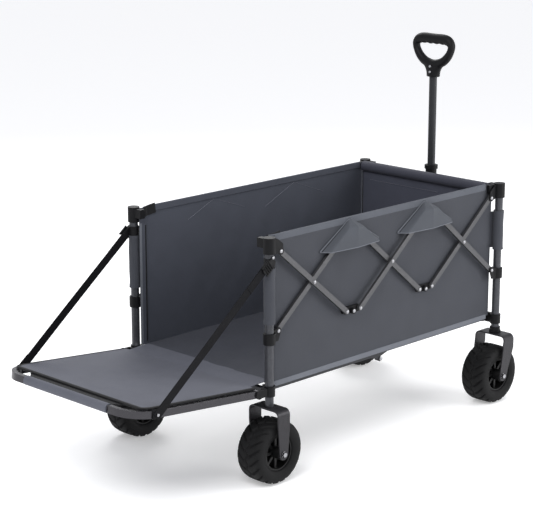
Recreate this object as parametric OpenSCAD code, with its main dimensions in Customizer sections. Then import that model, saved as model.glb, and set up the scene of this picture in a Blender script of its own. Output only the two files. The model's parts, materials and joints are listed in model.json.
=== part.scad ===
// Folding camp wagon with a drop tailgate, scissor sides and a telescopic pull handle.
// X runs from the tailgate end to the handle end, Z is up, and the wheels stand on z = 0.

/* [Frame] */
// Distance between the tail posts and the front posts
frame_length = 1000; // [900:5:1060]
// Distance between the near posts and the far posts
frame_width = 544; // [500:2:600]
// Height of the top of the corner caps
cap_top_z = 687; // [660:1:720]
// Outer diameter of the corner posts
post_d = 24; // [22:1:26]
// Wall of the corner posts
post_wall = 1.6; // [1.2:0.1:2.5]

/* [Scissor sides] */
// Height of the upper row of scissor pivots
pivot_top_z = 645; // [630:1:660]
// Height of the lower row of scissor pivots
pivot_low_z = 421; // [405:1:440]
// Distance from a post's axis to its scissor pivots
lug_reach = 36; // [32:1:42]
// Half the distance between the two pivots of a hub
hub_half = 28; // [24:1:32]
// Width of a scissor arm
arm_w = 15; // [12:1:18]
// Thickness of a scissor arm
arm_t = 8; // [6:0.5:8]

/* [Wheels] */
// Diameter of a tyre
tyre_d = 180; // [170:1:185]
// Width of a tyre
tyre_w = 88; // [76:1:90]
// Height of the top of the fork crowns
crown_z = 216; // [212:1:222]
// Distance that a front axle trails behind its swivel axis
trail = 25; // [15:1:30]

/* [Floor] */
// Height of the middle of the floor rails
rail_z = 259; // [256:1:262]
// Height of a floor rail
rail_h = 20; // [16:1:22]
// Distance from a post's axis to the pivot of its floor rail
rail_reach = 31; // [28:1:36]
// Distance that the middle floor hinge hangs below the rails' centre line
knee_drop = 20; // [16:1:24]
// Distance from the wagon's middle to the floor hinge, towards the tail
knee_back = 15; // [0:1:20]

/* [Tailgate] */
// Distance from the tail posts to the middle of the tailgate's outer tube
gate_reach = 482; // [440:1:500]
// Distance from the tail posts to the tailgate's hinge line
gate_hinge = 45; // [42:1:48]
// Height of the tailgate's hinge line
gate_hinge_z = 260; // [258:1:262]
// Angle that the open tailgate rises towards its outer end
gate_rise = 5.4; // [4:0.1:7]
// Distance between the middles of the tailgate's side tubes
gate_width = 538; // [520:2:560]

/* [Handle] */
// Distance from the front posts to the handle, away from the bag
handle_out = 4; // [3:1:8]
// Height of the top of the handle's collar
collar_z = 706; // [700:1:715]
// Height of the bottom of the grip
grip_z = 984; // [960:1:990]
// Height of the grip
grip_h = 134; // [120:1:140]
// Width of the grip
grip_w = 160; // [140:1:170]

/* [Hidden] */
$fn = 48;
half_l = frame_length / 2;
half_w = frame_width / 2;
post_r = post_d / 2;
tyre_r = tyre_d / 2;

// wall of the square and flat tubes
tube_wall = 1.4;

// clearances between pieces
fit = 0.05;
gap = 0.4;

// the two layers that the scissor arms of a side lie in, measured outwards
// from the post plane, and the plate layer behind them
outer_y1 = half_w + 5.5;
outer_y0 = outer_y1 - arm_t;
inner_y1 = outer_y0 - 1;
inner_y0 = inner_y1 - arm_t;
back_y1 = inner_y0 - 0.3;
back_y0 = back_y1 - 3;
rivet_r = 3;
rivet_hole_r = rivet_r + fit;
rivet_head_r = 5;
rivet_head_h = 2.2;

// scissor geometry: three equal crossings between the posts
unit = (frame_length - 2 * lug_reach - 4 * hub_half) / 3;
x_tail = -half_l + lug_reach;
x_front = half_l - lug_reach;
hub_t_l = x_tail + unit;
hub_t_r = hub_t_l + 2 * hub_half;
hub_f_l = hub_t_r + unit;
hub_f_r = hub_f_l + 2 * hub_half;

// caps, sliders and brackets
ring_r = 17;
cap_h = 44;
lug_t = 3;
lug_r = 10;
slider_h = 31;
bracket_z0 = rail_z - 14;
bracket_h = 29;

// floor rails: the tail pair runs outside the front pair
rail_t = 10;
plate_gap = 0.4;
rail_tail_y1 = half_w - 22;
rail_tail_y0 = rail_tail_y1 - rail_t;
rail_front_y1 = rail_tail_y0 - 2;
rail_front_y0 = rail_front_y1 - rail_t;
knee_z = rail_z - knee_drop;
rail_x_tail = -half_l + rail_reach;
rail_x_front = half_l - rail_reach;
board_t = 6;
board_z = rail_z + rail_h / 2;
board_half_w = rail_front_y0 - 2;
board_gap = 86;

// fabric
cloth = 2;
side_y1 = back_y0 - 0.7;
side_y0 = side_y1 - cloth;
side_z0 = rail_z + rail_h / 2 + 1;
side_z1 = cap_top_z - 2;
side_inset = 19;
bar_front_x = half_l - 30;
bar_front_z = 673;
bar_front_r = 10;
bar_half = half_w - 15;
roll_r = 19;
roll_back = 3.5;

// tailgate
gate_tube_h = 20;
gate_tube_t = 16;
gate_corner_r = 70;
gate_x0 = -half_l - gate_hinge;
gate_len = (gate_reach - gate_hinge) / cos(gate_rise);
gate_half = gate_width / 2;
sleeve_r = 14;
sleeve_half = 168;

// forks and axles
fork_w = 45;
fork_t = 4;
leg_in = 52.5;
leg_out = leg_in + fork_t;
axle_r = 5;
foot_r = 16;
shoulder_r = 16;

// handle
handle_x = half_l + handle_out;
handle_tube_r = 14.5;
handle_shaft_r = 12;
handle_foot_z = 272;
handle_pivot_z = 262;

// straps
strap_w = 25;
strap_t = 2;
strap_top_z = 618;
strap_y = half_w + 6;

// the origin is under the middle of the whole wagon, between the outer edge
// of the tailgate's sleeve and the front of the front tyres
tail_end = half_l + gate_reach + sleeve_r;
front_end = half_l - trail + tyre_r;
mid_x = (tail_end - front_end) / 2;

// ---------- helpers ----------

// moves a piece from the wagon's middle to the origin's frame
module place() translate([mid_x, 0, 0]) children();

// the far side mirrors the near side
module near() place() children();
module far() place() mirror([0, 1, 0]) children();
module both() {
    near() children();
    far() children();
}

// a flat shape drawn in X and Z, made solid on the near side between two
// distances from the middle plane
module slab(y_in, y_out) {
    translate([0, -y_in, 0]) rotate([90, 0, 0]) linear_extrude(y_out - y_in) children();
}

// a bar's outline from point p to point q with round ends
module bar_outline(p, q, w) {
    run = norm(q - p);
    translate(p) rotate(atan2(q[1] - p[1], q[0] - p[0])) translate([0, -w / 2]) square([run, w]);
    translate(p) circle(d = w);
    translate(q) circle(d = w);
}

// a round hole or pin across the near side
module cross_pin(p, r, y_in, y_out) slab(y_in, y_out) translate(p) circle(r);

// a rivet with a domed head outside
module rivet(p, y_in, y_out) {
    cross_pin(p, rivet_r, y_in, y_out);
    translate([p[0], -y_out, p[1]])
        rotate([90, 0, 0])
            cylinder(r1 = rivet_head_r, r2 = rivet_head_r * 0.62, h = rivet_head_h);
}

// ---------- posts, caps and sliders ----------

module post(x, z0) {
    color("#5a5d63")
        translate([x, -half_w, z0])
            difference() {
                cylinder(r = post_r, h = cap_top_z - 4 - z0);
                translate([0, 0, -1]) cylinder(r = post_r - post_wall, h = cap_top_z);
            }
}

// a corner cap with the fin that carries a scissor arm; side is +1 at the tail
module cap(x, side, lug_in) {
    fin_x = x + side * lug_reach;
    lug_out = lug_in + lug_t;
    color("#1b1c1f")
        difference() {
            union() {
                translate([x, -half_w, cap_top_z - cap_h]) cylinder(r = ring_r, h = cap_h);
                // lug towards the other side's post
                translate([x - 9, -half_w + 8, cap_top_z - 30]) cube([18, 30, 26]);
                // the front caps also hold the ends of the top cross bar
                if (side < 0)
                    slab(bar_half, bar_half + 10)
                        polygon([
                            [bar_front_x - 13, cap_top_z - 3], [x - 4, cap_top_z - 3],
                            [x - 4, cap_top_z - 28], [bar_front_x - 13, cap_top_z - 28]
                        ]);
                slab(lug_in, lug_out)
                    polygon([
                        [x + side * 8, cap_top_z - 3], [x + side * 22, cap_top_z - 5],
                        [fin_x + side * 8, cap_top_z - 22], [fin_x + side * 9, pivot_top_z],
                        [fin_x, pivot_top_z - lug_r], [fin_x - side * 8, pivot_top_z - 6],
                        [x + side * 8, cap_top_z - cap_h]
                    ]);
                slab(lug_in, lug_out) translate([fin_x, pivot_top_z]) circle(lug_r);
            }
            translate([x, -half_w, -1]) cylinder(r = post_r + fit, h = cap_top_z - 3);
            cross_pin([fin_x, pivot_top_z], rivet_hole_r, half_w - 20, half_w + 20);
        }
}

// a bracket that slides on a post and carries the foot of a scissor arm
module slider(x, side, lug_in, lug_out) {
    lug_x = x + side * lug_reach;
    top_z = pivot_low_z + 1;
    color("#1b1c1f")
        difference() {
            union() {
                translate([x, -half_w, top_z - slider_h]) cylinder(r = ring_r, h = slider_h);
                slab(lug_in, lug_out)
                    polygon([
                        [x + side * 6, top_z - slider_h], [lug_x, top_z - slider_h + 3],
                        [lug_x + side * lug_r, pivot_low_z],
                        [lug_x - side * 6, pivot_low_z + 8], [x + side * 6, top_z]
                    ]);
                slab(lug_in, lug_out) translate([lug_x, pivot_low_z]) circle(lug_r);
            }
            translate([x, -half_w, 0]) cylinder(r = post_r + gap, h = cap_top_z);
            cross_pin([lug_x, pivot_low_z], rivet_hole_r, half_w - 20, half_w + 20);
        }
}

// a bracket low on a post that carries the end of a floor rail
module rail_bracket(x, side, rail_out) {
    pivot_x = x + side * rail_reach;
    plate_in = rail_out + plate_gap;
    plate_out = plate_in + 3;
    color("#1b1c1f")
        difference() {
            union() {
                translate([x, -half_w, bracket_z0]) cylinder(r = ring_r - 1, h = bracket_h);
                translate([x - 6, -half_w, bracket_z0]) cube([12, half_w - plate_in, bracket_h]);
                slab(plate_in, plate_out)
                    polygon([
                        [x - side * 6, bracket_z0], [x - side * 6, bracket_z0 + bracket_h],
                        [pivot_x, rail_z + 9], [pivot_x, rail_z - 9]
                    ]);
                slab(plate_in, plate_out) translate([pivot_x, rail_z]) circle(9);
            }
            translate([x, -half_w, 0]) cylinder(r = post_r + fit, h = cap_top_z);
            cross_pin([pivot_x, rail_z], rivet_hole_r, half_w - 60, half_w);
        }
    color("silver") rivet([pivot_x, rail_z], rail_out - rail_t, plate_out);
}

// ---------- scissor arms and hubs ----------

// an arm from point p to point q, drawn level and then turned into place; an
// arm of the outer layer holds the rivet of its crossing
module arm(p, q, outer, tail_rivet, front_rivet) {
    y0 = outer ? outer_y0 : inner_y0;
    y1 = outer ? outer_y1 : inner_y1;
    run = norm(q - p);
    ends = [[0, 0], [run, 0]];
    middle = [run / 2, 0];
    translate([p[0], 0, p[1]])
        rotate([0, -atan2(q[1] - p[1], q[0] - p[0]), 0]) {
            color("#4b4e54")
                difference() {
                    slab(y0, y1) bar_outline(ends[0], ends[1], arm_w);
                    // the hollow of the flat tube, stopped at its pressed ends and middle
                    slab(y0 + tube_wall, y1 - tube_wall)
                        for (start = [arm_w, run / 2 + arm_w])
                            translate([start, tube_wall - arm_w / 2])
                                square([run / 2 - 2 * arm_w, arm_w - 2 * tube_wall]);
                    for (at = [ends[0], ends[1], middle])
                        cross_pin(at, rivet_hole_r, y0 - 1, y1 + 1);
                }
            color("silver") {
                rivet(ends[0], y0 - tail_rivet[0], y1 + tail_rivet[1]);
                rivet(ends[1], y0 - front_rivet[0], y1 + front_rivet[1]);
                if (outer) rivet(middle, inner_y0, outer_y1);
            }
        }
}

// how far a rivet reaches past its arm: inwards through a hub's plate, or
// outwards through the lug of a cap or a slider
into_mid = [arm_t + 1, 0];
into_back = [3.3, 0];
into_lug = [0, lug_t + 0.4];

module arm_1a() arm([x_tail, pivot_top_z], [hub_t_l, pivot_low_z], true, into_lug, into_mid);
module arm_1b() arm([x_tail, pivot_low_z], [hub_t_l, pivot_top_z], false, into_lug, into_back);
module arm_2a() arm([hub_t_r, pivot_top_z], [hub_f_l, pivot_low_z], false, into_back, into_back);
module arm_2b() arm([hub_t_r, pivot_low_z], [hub_f_l, pivot_top_z], true, into_mid, into_mid);
module arm_3a() arm([hub_f_r, pivot_top_z], [x_front, pivot_low_z], true, into_mid, into_lug);
module arm_3b() arm([hub_f_r, pivot_low_z], [x_front, pivot_top_z], false, into_back, into_lug);

// a hub joins two arms of one layer: a plate behind them and a boss between
module hub(x, z, outer) {
    plate_y0 = outer ? inner_y0 : back_y0;
    plate_y1 = outer ? outer_y0 - gap : inner_y0 - 0.3;
    boss_y1 = outer ? outer_y1 : inner_y1;
    color("#1b1c1f")
        difference() {
            union() {
                slab(plate_y0, plate_y1)
                    bar_outline([x - hub_half, z], [x + hub_half, z], 20);
                slab(plate_y0, boss_y1) translate([x, z - 3]) circle(9);
            }
            for (s = [-1, 1])
                cross_pin([x + s * hub_half, z], rivet_hole_r, plate_y0 - 1, plate_y1 + 1);
            cross_pin([x, z - 3], rivet_hole_r, plate_y0 - 1, boss_y1 + 1);
        }
    color("silver") rivet([x, z - 3], plate_y0, boss_y1);
}

// ---------- wheels, forks and casters ----------

module tyre(x) {
    shoulder = 14;
    casing = 11;
    bead_r = 50;
    color("#18181a")
        translate([x, -half_w, tyre_r])
            rotate([90, 0, 0])
                rotate_extrude($fn = 96)
                    difference() {
                        union() {
                            translate([bead_r, -tyre_w / 2 + 5])
                                square([tyre_r - shoulder - bead_r, tyre_w - 10]);
                            translate([bead_r, -tyre_w / 2 + shoulder])
                                square([tyre_r - bead_r, tyre_w - 2 * shoulder]);
                            for (s = [-1, 1])
                                translate([tyre_r - shoulder, s * (tyre_w / 2 - shoulder)])
                                    circle(shoulder);
                        }
                        translate([0, -tyre_w]) square([bead_r, 2 * tyre_w]);
                        // the hollow inside the casing, closed by the rim
                        translate([bead_r - 1, -tyre_w / 2 + casing])
                            square([tyre_r - casing - bead_r - 5, tyre_w - 2 * casing]);
                    }
}

module rim(x) {
    rim_r = 50 - 0.02;
    half = 36;
    hub_r = 17;
    spokes = 8;
    color("#222326")
        translate([x, -half_w, tyre_r])
            rotate([90, 0, 0])
                difference() {
                    union() {
                        difference() {
                            cylinder(r = rim_r, h = 2 * half, center = true, $fn = 96);
                            cylinder(r = rim_r - 4, h = 2 * half + 2, center = true, $fn = 96);
                        }
                        cylinder(r = hub_r, h = 2 * leg_in - 3, center = true);
                        for (i = [0 : spokes - 1])
                            rotate(i * 360 / spokes)
                                translate([hub_r - 2, -4, -24]) cube([rim_r - hub_r, 8, 48]);
                    }
                    cylinder(r = axle_r + 0.08, h = 4 * half, center = true);
                }
}

// a bent strip that straddles the wheel, seen from the side and from the end
module fork(x, back) {
    depth = crown_z - tyre_r;
    color("#3c3e42")
        translate([x, -half_w, 0])
            difference() {
                intersection() {
                    // end view: an upside-down U with round shoulders
                    translate([fork_w, 0, 0])
                        rotate([90, 0, -90])
                            linear_extrude(3 * fork_w)
                                difference() {
                                    fork_u(leg_out, crown_z, shoulder_r);
                                    fork_u(leg_in, crown_z - fork_t, shoulder_r - fork_t);
                                }
                    // side view: wide at the crown, narrow and round at the axle
                    translate([0, leg_out + 1, 0])
                        rotate([90, 0, 0])
                            linear_extrude(2 * leg_out + 2) {
                                polygon([
                                    [-fork_w / 2, crown_z + 1], [fork_w / 2, crown_z + 1],
                                    [fork_w / 2, crown_z - depth / 3],
                                    [-back + foot_r, tyre_r], [-back - foot_r, tyre_r],
                                    [-fork_w / 2 - back / 5, crown_z - depth / 3]
                                ]);
                                translate([-back, tyre_r]) circle(foot_r);
                            }
                }
                translate([-back, 0, tyre_r])
                    rotate([90, 0, 0])
                        cylinder(r = axle_r + fit, h = 4 * leg_out, center = true);
            }
    // the axle bolt with its head and nut
    color("silver")
        translate([x - back, -half_w, tyre_r])
            rotate([90, 0, 0]) {
                cylinder(r = axle_r, h = 2 * leg_out, center = true);
                for (s = [-1, 1])
                    translate([0, 0, s * (leg_out + 2.5)])
                        cylinder(r = 9, h = 5, center = true, $fn = 6);
            }
}

// the outline that a fork's strip follows, half width w and height h
module fork_u(w, h, r) {
    translate([-w, 0]) square([2 * w, h - r]);
    translate([-w + r, 0]) square([2 * (w - r), h]);
    for (s = [-1, 1]) translate([s * (w - r), h - r]) circle(r);
}

module caster_collar() {
    color("#151517")
        translate([half_l, -half_w, crown_z + gap])
            difference() {
                union() {
                    cylinder(r = 16, h = 17);
                    cylinder(r = 18, h = 6);
                }
                translate([0, 0, -1]) cylinder(r = post_r + fit, h = 20);
            }
}

// the swivel pin stands on the crown and turns inside the post's bore
module caster_fork() {
    fork(half_l, trail);
    color("#8a8c90")
        translate([half_l, -half_w, crown_z])
            cylinder(r = post_r - post_wall - 0.08, h = 40);
}

// ---------- cross bars and floor ----------

// a square tube across the wagon, low between two brackets
module low_bar(x, depth, w) {
    h = 18;
    color("#3c3e42")
        translate([x, 0, rail_z - 13])
            difference() {
                translate([0, -w, 0]) cube([depth, 2 * w, h]);
                translate([tube_wall, -w - 1, tube_wall])
                    cube([depth - 2 * tube_wall, 2 * w + 2, h - 2 * tube_wall]);
            }
}

module crossbar_tail() low_bar(-half_l - 8, 16, rail_tail_y1 + plate_gap - fit);

module crossbar_front_top() {
    color("#3c3e42")
        translate([bar_front_x, 0, bar_front_z])
            rotate([90, 0, 0])
                difference() {
                    cylinder(r = bar_front_r, h = 2 * bar_half, center = true);
                    cylinder(r = bar_front_r - tube_wall, h = 3 * bar_half, center = true);
                }
}

module crossbar_front_low() low_bar(half_l - 9, 17, rail_front_y1 + plate_gap - fit);

// a pair of rails from the corner pivots to the middle hinge
module floor_rails(side, x_pivot, y0, y1) {
    knee = [-knee_back, knee_z];
    leaf_x = -knee_back - side * 45;
    color("#2c2e32")
        difference() {
            union() {
                slab(y0, y1) {
                    translate([min(x_pivot, -knee_back), rail_z - rail_h / 2])
                        square([abs(x_pivot + knee_back), rail_h]);
                    translate([x_pivot, rail_z]) circle(rail_h / 2);
                }
                // the leaf that hangs down to the hinge pin
                slab(y0, y1)
                    polygon([
                        [-knee_back, rail_z], [leaf_x, rail_z],
                        [leaf_x, rail_z - rail_h / 2],
                        [-knee_back - side * 9, knee_z], [-knee_back, knee_z - 9]
                    ]);
                slab(y0, y1)
                    intersection() {
                        translate(knee) circle(9);
                        translate([-knee_back - (side > 0 ? 9 : 0), knee_z - 9]) square([9, 18]);
                    }
            }
            cross_pin([x_pivot, rail_z], rivet_hole_r, y0 - 1, y1 + 1);
        }
}

module floor_rails_tail() {
    floor_rails(1, rail_x_tail, rail_tail_y0, rail_tail_y1);
    color("silver") rivet([-knee_back - 3, knee_z], rail_tail_y1, rail_tail_y1 + 1.5);
}

module floor_rails_front() floor_rails(-1, rail_x_front, rail_front_y0, rail_front_y1);

// a stiff floor board; a cross rib under it ties it to its two rails
module floor_board(x0, x1, rib_y) {
    color("#3a3c42") {
        translate([x0, -board_half_w, board_z + 0.1]) cube([x1 - x0, 2 * board_half_w, board_t]);
        for (x = [x0 + 60, x1 - 60])
            translate([x - 10, -rib_y, rail_z - 8]) cube([20, 2 * rib_y, board_z - rail_z + 8.1]);
    }
}

// ---------- fabric ----------

module bag_side(x0, x1) {
    slab(side_y0, side_y1)
        difference() {
            translate([x0, side_z0]) square([x1 - x0, side_z1 - side_z0]);
            // the front corner is cut out round the top cross bar
            translate([bar_front_x - 16, cap_top_z - 31]) square(50);
        }
}

module bag_tail() color("#52555e") bag_side(-half_l + side_inset, 12);

// the front wall hangs from the top cross bar in a padded roll
module bag_front_wall() {
    w = side_y0 - 1;
    wall_x = bar_front_x - 4;
    place() {
        translate([wall_x, -w, side_z0]) cube([cloth, 2 * w, bar_front_z - roll_r - side_z0 + 3]);
        translate([bar_front_x, 0, bar_front_z])
            rotate([90, 0, 0])
                difference() {
                    translate([-roll_back, 0, 0]) cylinder(r = roll_r, h = 2 * w, center = true);
                    cylinder(r = bar_front_r + gap, h = 2 * w + 2, center = true);
                }
    }
}

module bag_front() color("#52555e") {
    both() bag_side(14, half_l - side_inset);
    bag_front_wall();
}

// ---------- tailgate ----------

// draws in the tailgate's own frame: X along the gate, outwards, from the
// hinge line, and Z up from the tube's middle
module gate_frame() {
    place()
        translate([gate_x0, 0, gate_hinge_z])
            rotate([0, gate_rise, 0]) mirror([1, 0, 0]) children();
}

// the outline of the gate's tube seen from above, grown by d
module gate_outline(d) {
    r = gate_corner_r + d;
    w = gate_half + d;
    translate([-1, -w]) square([gate_len + d - r + 1, 2 * w]);
    translate([gate_len + d - r - 1, -(w - r)]) square([r + 1, 2 * (w - r)]);
    for (s = [-1, 1]) translate([gate_len + d - r, s * (w - r)]) circle(r, $fn = 96);
}

module tailgate_frame() {
    t = gate_tube_t / 2;
    eye_y = gate_half;
    color("#54575c")
        gate_frame()
            difference() {
                union() {
                    translate([0, 0, -gate_tube_h / 2])
                        linear_extrude(gate_tube_h)
                            difference() {
                                gate_outline(t);
                                gate_outline(-t);
                                translate([-50, -500]) square([50, 1000]);
                            }
                    for (s = [-1, 1])
                        translate([0, s * eye_y, 0])
                            rotate([90, 0, 0])
                                cylinder(r = gate_tube_h / 2 + 1, h = gate_tube_t, center = true);
                }
                for (s = [-1, 1])
                    translate([0, s * eye_y, 0])
                        rotate([90, 0, 0])
                            cylinder(r = 4.08, h = gate_tube_t + 2, center = true);
                // the hollow of the tube
                translate([0, 0, tube_wall - gate_tube_h / 2])
                    linear_extrude(gate_tube_h - 2 * tube_wall)
                        difference() {
                            gate_outline(t - tube_wall);
                            gate_outline(tube_wall - t);
                            translate([-50, -500]) square([62, 1000]);
                        }
            }
}

// the brackets behind the tail posts that hold the tailgate's hinge pins
module gate_bracket() {
    plate_y0 = gate_half + gate_tube_t / 2 + 0.3;
    pin_x = gate_x0;
    pin = [pin_x, gate_hinge_z];
    color("#1b1c1f") {
        slab(plate_y0, plate_y0 + 4) {
            translate(pin) circle(13);
            translate([pin_x, gate_hinge_z - 11]) square([gate_hinge - ring_r, 22]);
        }
        difference() {
            translate([-half_l - 24, -half_w - 9.3, gate_hinge_z - 11]) cube([14, 18, 22]);
            translate([-half_l, -half_w, 0]) cylinder(r = ring_r - 1 + fit, h = cap_top_z);
            slab(plate_y0, plate_y0 + 4) translate([pin_x, gate_hinge_z - 20]) square([80, 60]);
        }
    }
    color("silver") cross_pin(pin, 4, plate_y0 - gate_tube_t - 0.6, plate_y0);
}

// the fabric panel over the tailgate and the sleeve on its outer tube
module tailgate_panel() {
    lift = gate_tube_h / 2 + 2;
    back = 34;
    color("#70727c")
        gate_frame() {
            translate([0, 0, lift])
                linear_extrude(5)
                    difference() {
                        gate_outline(0);
                        translate([gate_len - back, -500]) square([1000, 1000]);
                        translate([-100, -500]) square([106, 1000]);
                    }
            translate([gate_len, 0, 0])
                rotate([90, 0, 0])
                    difference() {
                        cylinder(r = sleeve_r, h = 2 * sleeve_half, center = true);
                        cube([gate_tube_t + 1, gate_tube_h + 1, 3 * sleeve_half], center = true);
                    }
        }
}

// ---------- straps ----------

strap_foot_along = 371;
strap_foot = [
    gate_x0 - strap_foot_along * cos(gate_rise),
    gate_hinge_z + strap_foot_along * sin(gate_rise)
];

module strap() {
    top = [-half_l - 10, strap_top_z];
    lean = strap_foot - top;
    dir = lean / norm(lean);
    p = top + dir * 33;
    q = strap_foot - dir * 16;
    side = [-dir[1], dir[0]] * strap_w / 2;
    color("#141416")
        slab(strap_y, strap_y + strap_t) polygon([p - side, p + side, q + side, q - side]);
}

// a band round the post and the plate that the strap's ladder lock hangs on
module strap_buckle() {
    top = [-half_l - 10, strap_top_z];
    lean = strap_foot - top;
    dir = lean / norm(lean);
    color("#141416")
        difference() {
            union() {
                translate([-half_l, -half_w, strap_top_z - 12]) cylinder(r = 15, h = 24);
                slab(half_w + 5, half_w + 15)
                    bar_outline([-half_l - 4, strap_top_z + 2], top + dir * 20, 24);
            }
            translate([-half_l, -half_w, 0]) cylinder(r = post_r + fit, h = cap_top_z);
        }
}

// ---------- handle ----------

module handle_yoke() {
    color("#3c3e42") {
        difference() {
            for (s = [-1, 1])
                translate([half_l + 8.2, s * 19 - 2, handle_pivot_z - 14]) cube([18, 4, 30]);
            translate([handle_x + 13, 0, handle_pivot_z])
                rotate([90, 0, 0]) cylinder(r = 4 + fit, h = 80, center = true);
        }
    }
    color("silver")
        translate([handle_x + 13, 0, handle_pivot_z])
            rotate([90, 0, 0]) cylinder(r = 4, h = 46, center = true);
}

module handle_tube() {
    color("#3a3c40")
        difference() {
            union() {
                translate([handle_x, 0, handle_foot_z + 18])
                    cylinder(r = handle_tube_r, h = collar_z - 22 - handle_foot_z - 18);
                // the foot that hangs on the yoke's pin
                translate([handle_x + 4.6, -16, handle_pivot_z]) cube([18, 32, 18]);
                translate([handle_x + 13, 0, handle_pivot_z])
                    rotate([90, 0, 0]) cylinder(r = 8.4, h = 32, center = true);
                translate([handle_x - 8, -12, handle_foot_z + 8]) cube([26, 24, 14]);
            }
            translate([handle_x, 0, handle_foot_z + 26])
                cylinder(r = handle_shaft_r + 0.08, h = collar_z);
            translate([handle_x + 13, 0, handle_pivot_z])
                rotate([90, 0, 0]) cylinder(r = 4.08, h = 80, center = true);
        }
}

module handle_collar() {
    color("#1b1c1f")
        translate([handle_x, 0, 0])
            difference() {
                union() {
                    translate([0, 0, collar_z - 12]) cylinder(r = 21, h = 12);
                    translate([0, 0, collar_z - 34]) cylinder(r = 17.5, h = 24);
                }
                translate([0, 0, collar_z - 60])
                    cylinder(r = handle_tube_r + fit, h = 60 - 22 + fit);
                cylinder(r = handle_shaft_r + 0.08, h = 2 * collar_z);
            }
}

module handle_shaft() {
    color("#2a2c30")
        difference() {
            translate([handle_x, 0, collar_z - 110])
                cylinder(r = handle_shaft_r, h = grip_z + 20 - collar_z + 110);
            translate([handle_x, 0, 0]) cylinder(r = handle_shaft_r - 1.6, h = grip_z + 18);
        }
}

// half of the grip's outline, from the foot of its neck up to its top
grip_side = [
    [22.5, 0], [22.5, 6], [24, 14], [29, 26], [38, 38], [52, 50], [66, 64],
    [75, 80], [80, 96], [80, 108], [77, 118], [70, 127], [60, 131], [30, 134]
];
grip_flip = [for (i = [len(grip_side) - 1 : -1 : 0]) [-grip_side[i][0], grip_side[i][1]]];
grip_hole_half = 59;
grip_hole_h = 46;
grip_hole_top = 100;

// a closed D grip in the plane across the wagon, over a neck that takes the
// shaft
module handle_grip() {
    bar_r = 14;
    bar_half_l = 62;
    neck_h = 42;
    thick = 25;
    hole = [
        for (a = [0 : 15 : 180])
            [grip_hole_half * cos(a), grip_hole_top - grip_hole_h * sin(a)]
    ];
    color("#1b1c1f")
        translate([handle_x, 0, grip_z])
            difference() {
                union() {
                    cylinder(r = 18, h = neck_h);
                    translate([0, 0, grip_h - bar_r - 5])
                        rotate([90, 0, 0])
                            cylinder(r = bar_r, h = 2 * bar_half_l, center = true);
                    translate([-thick / 2, 0, 0])
                        rotate([90, 0, 90])
                            linear_extrude(thick)
                                scale([grip_w / 160, grip_h / 134])
                                    difference() {
                                        polygon(concat(grip_side, grip_flip));
                                        polygon(hole);
                                    }
                }
                translate([0, 0, -1]) cylinder(r = handle_shaft_r + fit, h = 22);
            }
}

// ---------- the sub-parts ----------

near() post(-half_l, crown_z + 0.1);  // post_tail_near
far() post(-half_l, crown_z + 0.1);  // post_tail_far
near() post(half_l, crown_z + 2);  // post_front_near
far() post(half_l, crown_z + 2);  // post_front_far
near() cap(-half_l, 1, outer_y1 + gap);  // cap_tail_near
far() cap(-half_l, 1, outer_y1 + gap);  // cap_tail_far
near() cap(half_l, -1, inner_y1 + gap);  // cap_front_near
far() cap(half_l, -1, inner_y1 + gap);  // cap_front_far
both() slider(-half_l, 1, inner_y1 + gap, inner_y1 + gap + lug_t);  // sliders_tail
both() slider(half_l, -1, outer_y1 + gap, outer_y1 + gap + lug_t);  // sliders_front
both() rail_bracket(-half_l, 1, rail_tail_y1);  // rail_brackets_tail
both() rail_bracket(half_l, -1, rail_front_y1);  // rail_brackets_front

near() arm_1a();  // arm_1a_near
far() arm_1a();  // arm_1a_far
near() arm_1b();  // arm_1b_near
far() arm_1b();  // arm_1b_far
near() arm_2a();  // arm_2a_near
far() arm_2a();  // arm_2a_far
near() arm_2b();  // arm_2b_near
far() arm_2b();  // arm_2b_far
near() arm_3a();  // arm_3a_near
far() arm_3a();  // arm_3a_far
near() arm_3b();  // arm_3b_near
far() arm_3b();  // arm_3b_far
both() hub(hub_t_l + hub_half, pivot_low_z, true);  // hubs_low_tail
both() hub(hub_f_l + hub_half, pivot_low_z, false);  // hubs_low_front
both() hub(hub_t_l + hub_half, pivot_top_z, false);  // hubs_top_tail
both() hub(hub_f_l + hub_half, pivot_top_z, true);  // hubs_top_front

near() fork(-half_l, 0);  // fork_tail_near
far() fork(-half_l, 0);  // fork_tail_far
near() caster_fork();  // caster_fork_near
far() caster_fork();  // caster_fork_far
both() caster_collar();  // caster_collars
near() tyre(-half_l);  // tyre_tail_near
far() tyre(-half_l);  // tyre_tail_far
near() tyre(half_l - trail);  // tyre_front_near
far() tyre(half_l - trail);  // tyre_front_far
near() rim(-half_l);  // rim_tail_near
far() rim(-half_l);  // rim_tail_far
near() rim(half_l - trail);  // rim_front_near
far() rim(half_l - trail);  // rim_front_far

place() crossbar_tail();
place() crossbar_front_top();
place() crossbar_front_low();
both() floor_rails_tail();
both() floor_rails_front();
place() floor_board(rail_x_tail + 14, -knee_back - board_gap, rail_tail_y0 - 0.1);  // floor_board_tail
place() floor_board(-knee_back + board_gap, rail_x_front - 14, rail_front_y0 - 0.1);  // floor_board_front

both() bag_tail();
bag_front();
tailgate_frame();
tailgate_panel();
both() gate_bracket();  // gate_brackets
both() strap();  // straps
both() strap_buckle();  // strap_buckles

place() handle_yoke();
place() handle_tube();
place() handle_collar();
place() handle_shaft();
place() handle_grip();
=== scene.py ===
# %% [markdown]
# # A folding camp wagon, made in Blender
# The wagon has four round posts, two zigzag sides of flat steel arms, a fabric bag, a tailgate that
# lies open on two straps, four wide wheels and a pull handle. The steel frame comes ready made from a
# CAD model, so this file adds what CAD leaves plain: cloth, stitching, tread, rivets and finishes.
# Most new pieces ride on one of the CAD model's moving bodies.

# %% Load the frame
import bpy
import bmesh
import json
import math
import numpy as np
from mathutils import Matrix, Vector


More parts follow.
